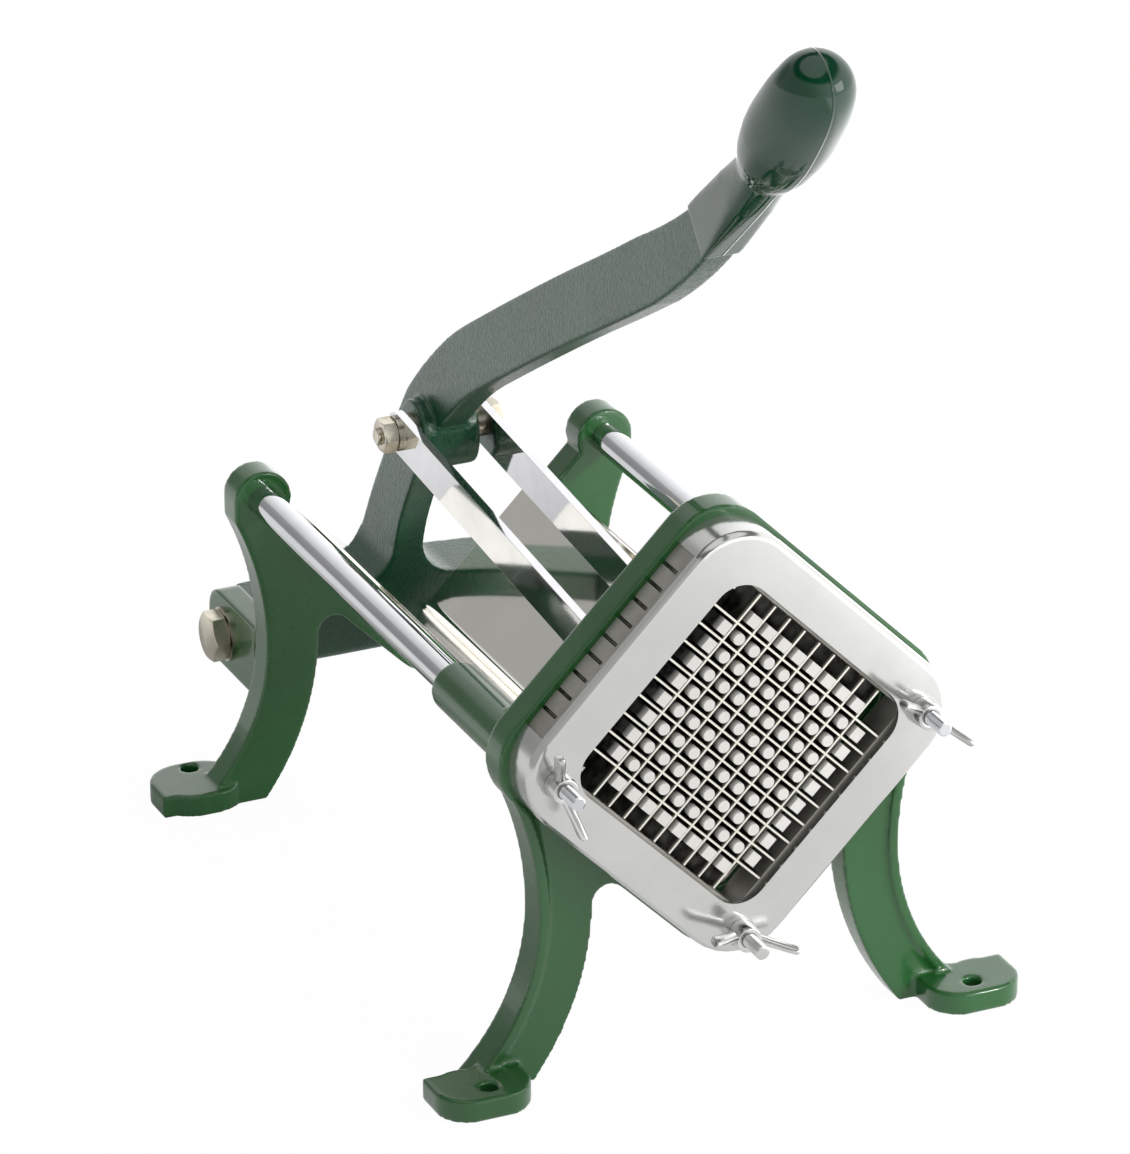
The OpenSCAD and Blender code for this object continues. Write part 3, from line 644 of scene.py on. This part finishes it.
@dataclass
class Cast:
    """A cast or dipped piece with soft edges and fillets over its CAD solid."""

    node: str
    cell: float
    rounds: int
    neck: tuple[Vector, Vector, float] | None = None
    neck_rounds: int = 170

    def soften_neck(self, piece: bpy.types.Object) -> None:
        """Blends the piece's bulb into its sleeve around the neck's plane.

        Args:
            piece: the piece, whose points near the neck are smoothed further.
        """
        place, axis, reach = self.neck
        group = piece.vertex_groups.new(name="neck")
        for point in piece.data.vertices:
            off = abs((point.co - place).dot(axis)) / reach
            if off < 1:
                group.add([point.index], 1 - off * off, "REPLACE")
        apply_modifier(piece, "SMOOTH", factor=0.5, iterations=self.neck_rounds,
                       vertex_group=group.name)
        piece.vertex_groups.clear()

    def build(self) -> bpy.types.Object:
        """Copies the CAD node, closes it into even faces and softens its edges.

        Returns:
            The soft piece, which replaces the node.
        """
        piece = merged_copy(self.node)
        apply_modifier(piece, "REMESH", mode="VOXEL", voxel_size=self.cell, use_smooth_shade=True)
        apply_modifier(piece, "SMOOTH", factor=0.5, iterations=self.rounds)
        if self.neck is not None:
            self.soften_neck(piece)
        log.info("%s has %d faces", self.node, len(piece.data.polygons))
        return settle(piece, f"{self.node}_cast", self.node)


@dataclass
class GuideRod:
    """A chromed guide rod with a threaded stud in front and a threaded tail.

    Its shoulder lies seat before the front frame's rear side, and its tail starts trough_tail
    before the trough's rear end.
    """

    node: str
    stud_r: float = 3.1 * MM
    rod_r: float = 6.75 * MM
    tail_r: float = 5.0 * MM
    stud_pitch: float = 1.2 * MM
    tail_pitch: float = 1.5 * MM
    chamfer: float = 0.7 * MM
    shown_stud: float = 24 * MM
    seat: float = 15 * MM
    trough_tail: float = 16 * MM

    def build(self) -> bpy.types.Object:
        """Turns the rod from its front tip to its rear tip.

        Returns:
            The rod, which replaces its node.
        """
        low, high = corner(self.node, False), corner(self.node, True)
        axis = middle(self.node)
        shoulder = corner("front_frame", True).y - self.seat
        step = corner("trough", True).y - self.trough_tail
        rings = [(low.y, self.stud_r - self.chamfer)]
        rings += thread(low.y, low.y + self.shown_stud, self.stud_r, self.stud_pitch)
        rings += [(low.y + self.shown_stud + self.stud_pitch, self.stud_r), (shoulder, self.stud_r),
                  (shoulder, self.rod_r), (step, self.rod_r), (step, self.tail_r)]
        rings += thread(step + self.tail_pitch, high.y - self.chamfer, self.tail_r, self.tail_pitch)
        rings += [(high.y, self.tail_r - self.chamfer)]
        rod = turned(rings)
        lay_down(rod, along_y(axis.x, axis.z))
        smooth(rod, 30)
        return settle(rod, self.node + "_turned", self.node)


@dataclass
class WingNut:
    """A wing nut with a conical hub and two flared wings.

    Each station of a wing is its reach and rise, as shares of the wing's, and how much the section
    grows in thickness and height there.
    """

    node: str
    stud: str
    turn: float
    hub_r: float = 6.5 * MM
    top_r: float = 5.5 * MM
    hub_h: float = 8.0 * MM
    bore_r: float = 3.16 * MM
    reach: float = 20.0 * MM
    rise: float = 17.5 * MM
    wing_t: float = 3.6 * MM
    root_x: float = 4.0 * MM
    root_z: float = 4.2 * MM
    root_l: float = 1.6 * MM
    root_h: float = 7.4 * MM
    root_swell: float = 1.3
    stations: tuple = ((0.4, 0.36, 0.9, 1.0), (0.56, 0.48, 0.95, 1.05), (0.72, 0.59, 1.0, 1.15),
                       (0.88, 0.69, 1.0, 1.05), (0.97, 0.75, 1.0, 0.85), (1.0, 0.77, 0.8, 0.7))

    def hub(self) -> bpy.types.Object:
        """Models the hub with its bore.

        Returns:
            The hub, standing on the Z axis.
        """
        deselect()
        bpy.ops.mesh.primitive_cylinder_add(vertices=40, radius=self.hub_r, depth=self.hub_h,
                                            location=(0, 0, self.hub_h / 2))
        hub = bpy.context.object
        bpy.ops.object.transform_apply(location=True)
        bpy.ops.object.mode_set(mode="EDIT")
        pick_faces(hub, lambda f: f.normal.z > 0.9)
        taper = self.top_r / self.hub_r
        bpy.ops.transform.resize(value=(taper, taper, 1), center_override=(0, 0, self.hub_h))
        bpy.ops.mesh.inset(thickness=self.top_r - self.bore_r, depth=0)
        bpy.ops.mesh.select_all(action="DESELECT")
        pick_faces(hub, lambda f: f.normal.z < -0.9)
        bpy.ops.mesh.inset(thickness=self.hub_r - self.bore_r, depth=0)
        pick_faces(hub, lambda f: abs(f.normal.z) > 0.9 and len(f.verts) > 8)
        bpy.ops.mesh.bridge_edge_loops()
        bpy.ops.object.mode_set(mode="OBJECT")
        apply_modifier(hub, "BEVEL", width=0.5 * MM, segments=2, angle_limit=math.radians(40))
        return hub

    def wing(self, side: int) -> bpy.types.Object:
        """Models one wing from a block that is extruded outwards and rounded.

        Args:
            side: 1 or -1, the way it points along X.

        Returns:
            The wing.
        """
        deselect()
        bpy.ops.mesh.primitive_cube_add(size=1, location=(side * self.root_x, 0, self.root_z))
        wing = bpy.context.object
        wing.scale = (self.root_l, self.root_swell * self.wing_t, self.root_h)
        bpy.ops.object.transform_apply(location=True, rotation=True, scale=True)
        bpy.ops.object.mode_set(mode="EDIT")
        pick_faces(wing, lambda f: f.normal.x * side > 0.9)
        at = Vector((side * (self.root_x + self.root_l / 2), 0, self.root_z))
        for out, up, thick, tall in self.stations:
            spot = Vector((side * out * self.reach, 0, up * self.rise))
            move = {"value": spot - at}
            bpy.ops.mesh.extrude_region_move(TRANSFORM_OT_translate=move)
            bpy.ops.transform.resize(value=(1, thick, tall), center_override=spot)
            at = spot
        bpy.ops.object.mode_set(mode="OBJECT")
        apply_modifier(wing, "SUBSURF", levels=2, render_levels=2)
        return wing

    def build(self) -> bpy.types.Object:
        """Models the nut upright and screws it on its stud.

        Returns:
            The nut, which replaces its node.
        """
        nut = join([self.hub(), self.wing(1), self.wing(-1)])
        axis = middle(self.stud)
        seat = corner("cover_washers", False).y
        turn = Matrix.Rotation(math.radians(self.turn), 4, "Y")
        face = Matrix.Rotation(math.radians(90), 4, "X")
        lay_down(nut, Matrix.Translation((axis.x, seat, axis.z)) @ turn @ face)
        smooth(nut, 50)
        return settle(nut, self.node + "_cast", self.node)


def flats_of(size: float) -> float:
    """Gives the distance across the flats of a bolt head or nut for a thread."""
    return 1.6 * size + 1.2 * MM


def hexagon(flats: float, low: float, high: float) -> bpy.types.Object:
    """Models an upright hexagon whose corners are turned off above and below.

    Args:
        flats: distance between two opposite sides.
        low: height of its lower face.
        high: height of its upper face.

    Returns:
        The hexagon.
    """
    deselect()
    radius = flats / 2 / math.cos(math.radians(30))
    bpy.ops.mesh.primitive_cylinder_add(vertices=6, radius=radius, depth=high - low,
                                        location=(0, 0, (low + high) / 2))
    nut = bpy.context.object
    bpy.ops.object.transform_apply(location=True)
    drop = 0.6 * (radius - flats / 2)
    past, face, wide = 0.01 * MM, 0.49 * flats, 1.01 * radius
    cone = turned([(low - past, face), (low + drop, wide), (high - drop, wide),
                   (high + past, face)], 72)
    apply_modifier(nut, "BOOLEAN", operation="INTERSECT", object=cone, solver="EXACT")
    bpy.data.objects.remove(cone)
    return nut


def drill(piece: bpy.types.Object, radius: float, low: float, high: float) -> None:
    """Drills a hole along an upright piece's axis.

    Args:
        piece: the piece.
        radius: the hole's radius.
        low: height where the hole starts.
        high: height where it ends.
    """
    bit = turned([(low, radius), (high, radius)])
    apply_modifier(piece, "BOOLEAN", operation="DIFFERENCE", object=bit, solver="EXACT")
    bpy.data.objects.remove(bit)


@dataclass
class HexBolt:
    """A hexagon bolt along X with a threaded end."""

    node: str
    size: float
    head_low: bool
    pitch: float = 1.25 * MM
    threaded: float = 22 * MM
    head_share: float = 0.62

    def build(self) -> bpy.types.Object:
        """Models the bolt upright with its head on top, and lays it down.

        Returns:
            The bolt, which replaces its node.
        """
        low, high = corner(self.node, False), corner(self.node, True)
        axis = middle(self.node)
        length = high.x - low.x
        radius = self.size / 2
        head = self.head_share * self.size
        neck = length - head
        rings = [(0, radius - 0.6 * self.pitch)] + thread(0, self.threaded, radius, self.pitch)
        rings += [(self.threaded + self.pitch, radius), (neck + head / 2, radius)]
        bolt = join([turned(rings), hexagon(flats_of(self.size), neck, length)])
        tip, degrees = (high.x, -90) if self.head_low else (low.x, 90)
        turn = Matrix.Rotation(math.radians(degrees), 4, "Y")
        lay_down(bolt, Matrix.Translation((tip, axis.y, axis.z)) @ turn)
        smooth(bolt, 30)
        return settle(bolt, self.node + "_turned", self.node)


@dataclass
class HexNut:
    """A hexagon nut along X, bored for its thread."""

    node: str
    size: float

    def build(self) -> bpy.types.Object:
        """Models the nut upright and lays it down.

        Returns:
            The nut, which replaces its node.
        """
        low, high = corner(self.node, False), corner(self.node, True)
        axis = middle(self.node)
        nut = hexagon(flats_of(self.size), low.x, high.x)
        drill(nut, self.size / 2, low.x - MM, high.x + MM)
        lay_down(nut, along_x(axis.y, axis.z))
        smooth(nut, 30)
        return settle(nut, self.node + "_turned", self.node)


@dataclass
class Stud:
    """The threaded stud under the cutting head."""

    node: str = "low_stud"
    pitch: float = 1.2 * MM
    threaded: float = 24 * MM

    def build(self) -> bpy.types.Object:
        """Turns the stud with its thread in front.

        Returns:
            The stud, which replaces its node.
        """
        low, high = corner(self.node, False), corner(self.node, True)
        axis = middle(self.node)
        radius = (high.x - low.x) / 2
        stop = low.y + self.threaded
        rings = [(low.y, radius - 0.6 * self.pitch)] + thread(low.y, stop, radius, self.pitch)
        rings += [(stop + self.pitch, radius), (high.y, radius)]
        stud = turned(rings)
        lay_down(stud, along_y(axis.x, axis.z))
        smooth(stud, 30)
        return settle(stud, self.node + "_turned", self.node)


@dataclass
class Studio:
    """The camera, the floor and the light.

    The lights are what pale faces see of each side. The shines are what mirrors see there: a dim
    band above the horizon, a bright box overhead, a greyer patch behind on the left, and on the
    floor a painted shadow under the object and a painted brighter right side.
    """

    place: Vector = field(default_factory=lambda: Vector((-1.2059, -2.6886, 1.4841)))
    turn: float = -24.138
    tilt: float = 24.355
    roll: float = -0.397
    focal_px: float = 7572.0
    sensor: float = 36.0
    floor_size: float = 40.0
    floor_drop: float = 0.2 * MM
    front_light: float = 1.0
    rear_light: float = 0.7
    left_light: float = 0.68
    right_light: float = 1.5
    top_light: float = 0.45
    left_shine: float = 0.5
    right_shine: float = 1.6
    band: tuple[float, float] = (0.6, 0.72)
    band_shine: float = 0.06
    box: tuple[float, float] = (0.82, 0.88)
    box_shine: float = 1.0
    patch: tuple[float, float, float] = (-0.48, 0.82, 0.3)
    patch_reach: tuple[float, float] = (19.0, 10.0)
    patch_shine: float = 0.62
    # Painted shadow on the floor for mirrors: its centre, where it fades out, and its darkest level
    under: tuple[float, float, float] = (-0.06, 0.12, 0)
    shadow_disc_reach: tuple[float, float] = (0.16, 0.36)
    shadow_disc_shine: float = 0.03
    # Painted light on the floor's right side for mirrors: where it rises, and its added level
    painted_light_reach: tuple[float, float] = (0.17, 0.36)
    painted_light_shine: float = 1.2
    white: float = 1.03
    shadow: float = 0.06
    spot_r: float = 0.12

    def camera(self) -> None:
        """Puts the camera at its place, looking along its turn and tilt."""
        a, e, r = (math.radians(v) for v in (self.turn, self.tilt, self.roll))
        right = Vector((math.cos(a), math.sin(a), 0))
        ahead = Vector((-math.sin(a) * math.cos(e), math.cos(a) * math.cos(e), -math.sin(e)))
        up = right.cross(ahead)
        x = math.cos(r) * right + math.sin(r) * up
        y = -math.sin(r) * right + math.cos(r) * up
        data = bpy.data.cameras.new("camera")
        data.sensor_width = self.sensor
        data.lens = self.focal_px * self.sensor / max(IMAGE_SIZE)
        data.clip_end = 200
        camera = bpy.data.objects.new("camera", data)
        axes = Matrix((x, y, -ahead)).transposed()
        camera.matrix_world = Matrix.Translation(self.place) @ axes.to_4x4()
        bpy.context.scene.collection.objects.link(camera)
        bpy.context.scene.camera = camera

    def floor(self) -> None:
        """Lays a white floor that keeps a faint shadow, and shows mirrors a painted shadow under the
        object and a painted brighter right side.
        """
        deselect()
        bpy.ops.mesh.primitive_plane_add(size=self.floor_size, location=(0, 0, -self.floor_drop))
        floor = bpy.context.object
        floor.name = "floor"
        board = Board("floor")
        shader = board.finish(Base_Color=(0.9, 0.9, 0.9, 1), Roughness=0.9, Specular_IOR_Level=0.0)
        path = board.add("ShaderNodeLightPath")
        # Painted light: for mirrors the floor glows brighter towards its right side
        across = board.add("ShaderNodeSeparateXYZ", {"Vector": board.place}).outputs["X"]
        painted_light = board.spread(across, 0, self.painted_light_shine, *self.painted_light_reach)
        extra = board.add("ShaderNodeMath", {0: path.outputs["Is Glossy Ray"], 1: painted_light},
                          operation="MULTIPLY")
        power = board.add("ShaderNodeMath", {0: extra.outputs[0], 1: self.white}, operation="ADD")
        glow = board.add("ShaderNodeEmission", {"Color": (1, 1, 1, 1), "Strength": power.outputs[0]})
        # Painted shadow: mirrors see the floor dark near the object, fading out with distance
        reach = board.add("ShaderNodeVectorMath", {0: board.place, 1: self.under},
                          operation="DISTANCE").outputs["Value"]
        painted_shadow = board.spread(reach, self.shadow_disc_shine, 1.0, *self.shadow_disc_reach)
        mirrored = board.add("ShaderNodeMath", {0: path.outputs["Is Glossy Ray"], 1: painted_shadow},
                             operation="MULTIPLY")
        direct = board.add("ShaderNodeMath", {0: path.outputs["Is Camera Ray"],
                                              1: mirrored.outputs[0]}, operation="MAXIMUM")
        seen = board.add("ShaderNodeMath", {0: direct.outputs[0], 1: 1 - self.shadow},
                         operation="MULTIPLY")
        mix = board.add("ShaderNodeMixShader", {0: seen.outputs[0], 1: board.shader.outputs[0],
                                                2: glow.outputs[0]})
        out = board.tree.nodes["Material Output"]
        board.tree.links.new(mix.outputs[0], out.inputs["Surface"])
        floor.data.materials.append(shader)

    def world(self) -> None:
        """Makes the pale surroundings, with one pattern for light and one for mirrors."""
        world = bpy.data.worlds.new("studio")
        bpy.context.scene.world = world
        world.use_nodes = True
        tree = world.node_tree
        background = tree.nodes["Background"]

        node = partial(add_node, tree)

        def ramp(value: bpy.types.NodeSocket, start: float, stop: float, low: float,
                 high: float) -> bpy.types.NodeSocket:
            """Maps start..stop to low..high with soft ends.

            Args:
                value: the value to map.
                start: value that gives low.
                stop: value that gives high.
                low: result at start.
                high: result at stop.

            Returns:
                The mapped value.
            """
            values = {"Value": value, "From Min": start, "From Max": stop, "To Min": low,
                      "To Max": high}
            made = node("ShaderNodeMapRange", values, interpolation_type="SMOOTHSTEP")
            return made.outputs["Result"]

        def times(first: bpy.types.NodeSocket, second: object) -> bpy.types.NodeSocket:
            """Multiplies two values."""
            return node("ShaderNodeMath", {0: first, 1: second}, operation="MULTIPLY").outputs[0]

        way = tree.nodes.new("ShaderNodeTexCoord").outputs["Generated"]
        axes = node("ShaderNodeSeparateXYZ", {"Vector": way}).outputs
        soft = times(ramp(axes["Y"], -0.6, 0.6, self.front_light, self.rear_light),
                     ramp(axes["X"], -0.8, 0.8, self.left_light, self.right_light))
        soft = times(soft, ramp(axes["Z"], 0.2, 0.8, 1.0, self.top_light))
        shine = ramp(axes["X"], -0.8, 0.8, self.left_shine, self.right_shine)
        shine = times(shine, ramp(axes["Z"], *self.band, 1.0, self.band_shine))
        toward = node("ShaderNodeVectorMath", {0: way, 1: Vector(self.patch).normalized()},
                      operation="DOT_PRODUCT").outputs["Value"]
        rim, core = (math.cos(math.radians(degrees)) for degrees in self.patch_reach)
        shine = times(shine, ramp(toward, rim, core, 1.0, self.patch_shine))
        overhead = ramp(axes["Z"], *self.box, 0.0, self.box_shine)
        shine = node("ShaderNodeMath", {0: shine, 1: overhead}, operation="ADD").outputs[0]
        path = tree.nodes.new("ShaderNodeLightPath").outputs
        mirrored = node("ShaderNodeMix", {"Factor": path["Is Glossy Ray"], "A": soft, "B": shine})
        shown = node("ShaderNodeMix", {"Factor": path["Is Camera Ray"], "A": mirrored.outputs["Result"],
                                       "B": 1.0})
        background.inputs["Color"].default_value = (1, 1, 1, 1)
        tree.links.new(shown.outputs["Result"], background.inputs["Strength"])

    def hang(self, data: bpy.types.Light, place: tuple, aim: tuple) -> None:
        """Puts a light in its place.

        Args:
            data: the light.
            place: where it stands, in metres.
            aim: the point that it faces.
        """
        lamp = bpy.data.objects.new(data.name, data)
        lamp.location = place
        direction = Vector(aim) - Vector(place)
        lamp.rotation_euler = direction.to_track_quat("-Z", "Y").to_euler()
        bpy.context.scene.collection.objects.link(lamp)

    def lamp(self, name: str, place: tuple, aim: tuple, size: float, power: float) -> None:
        """Adds a soft square lamp.

        Args:
            name: the lamp's name.
            place: where it stands, in metres.
            aim: the point that it faces.
            size: its side in metres.
            power: its power in watts.
        """
        data = bpy.data.lights.new(name, "AREA")
        data.size = size
        data.energy = power
        self.hang(data, place, aim)

    def spot(self, name: str, place: tuple, aim: tuple, angle: float, power: float) -> None:
        """Adds a round lamp whose cone fades softly.

        Args:
            name: the lamp's name.
            place: where it stands, in metres.
            aim: the point that it faces.
            angle: the cone's full angle in degrees.
            power: its power in watts.
        """
        data = bpy.data.lights.new(name, "SPOT")
        data.energy = power
        data.spot_size = math.radians(angle)
        data.spot_blend = 1.0
        data.shadow_soft_size = self.spot_r
        self.hang(data, place, aim)

    def build(self) -> None:
        """Sets up the whole studio."""
        bpy.context.scene.view_settings.view_transform = "Standard"
        self.camera()
        self.floor()
        self.world()
        self.lamp("key", (1.5, -1.6, 1.1), (0, 0, 0.15), 0.9, 8)
        self.spot("side", (1.1, -2.0, 0.7), (0.17, -0.02, 0.06), 11, 130)


# Voxel size in millimetres and rounds of smoothing of each casting
CAST = {"front_frame": (0.95, 4), "rear_frame": (0.95, 4), "pusher_carriage": (0.8, 4),
        "lever": (0.85, 9), "grip": (0.7, 14)}
# A point of the grip's neck, its axis, and how far along it the blending reaches
GRIP_NECK = (Vector((0, -190 * MM, 400 * MM)), Vector((0, -0.656, 0.755)), 15 * MM)
# Width in millimetres of each rounded edge
ROUNDED = {"cover_plate": 0.5, "blade_holder": 0.4, "link_left": 0.5, "link_right": 0.5,
           "pusher_block": 0.35, "trough": 0.2}
# The stud and the turn in degrees of each wing nut
WINGS = {"wing_nut_left": ("guide_rod_left", 75), "wing_nut_right": ("guide_rod_right", 37),
         "wing_nut_low": ("low_stud", 17)}
# The nut, the thread's diameter in millimetres and whether the head is on the left, for each bolt
BOLTS = {"pivot_bolt": ("pivot_nut", 12, True), "hub_bolt": ("hub_nut", 8, False),
         "link_pin": ("link_pin_nut", 8, False)}


class Cutter:
    """The whole cutter."""

    def dress_nodes(self) -> None:
        """Gives every CAD node that still shows the finish of its slot."""
        for name, node in frame["nodes"].items():
            SLOT_FINISH[slot_of(name)].coat(node)
            log.info("dressed %s", name)

    def build(self) -> None:
        """Builds every dressed piece in order."""
        self.dress_nodes()
        for node, (cell, rounds) in CAST.items():
            Cast(node, cell * MM, rounds, GRIP_NECK if node == "grip" else None).build()
        for node, width in ROUNDED.items():
            Rounded(node, width * MM).build()
        for node in ("guide_rod_left", "guide_rod_right"):
            GuideRod(node).build()
        Stud().build()
        for node, (stud, turn) in WINGS.items():
            WingNut(node, stud, turn).build()
        for node, (nut, size, head_low) in BOLTS.items():
            HexBolt(node, size * MM, head_low).build()
            HexNut(nut, size * MM).build()


def main() -> None:
    """Builds the studio and the cutter."""
    logging.basicConfig(level=logging.INFO, format="%(name)s: %(message)s")
    Studio().build()
    Cutter().build()
    deselect()


if __name__ == "__main__":
    main()
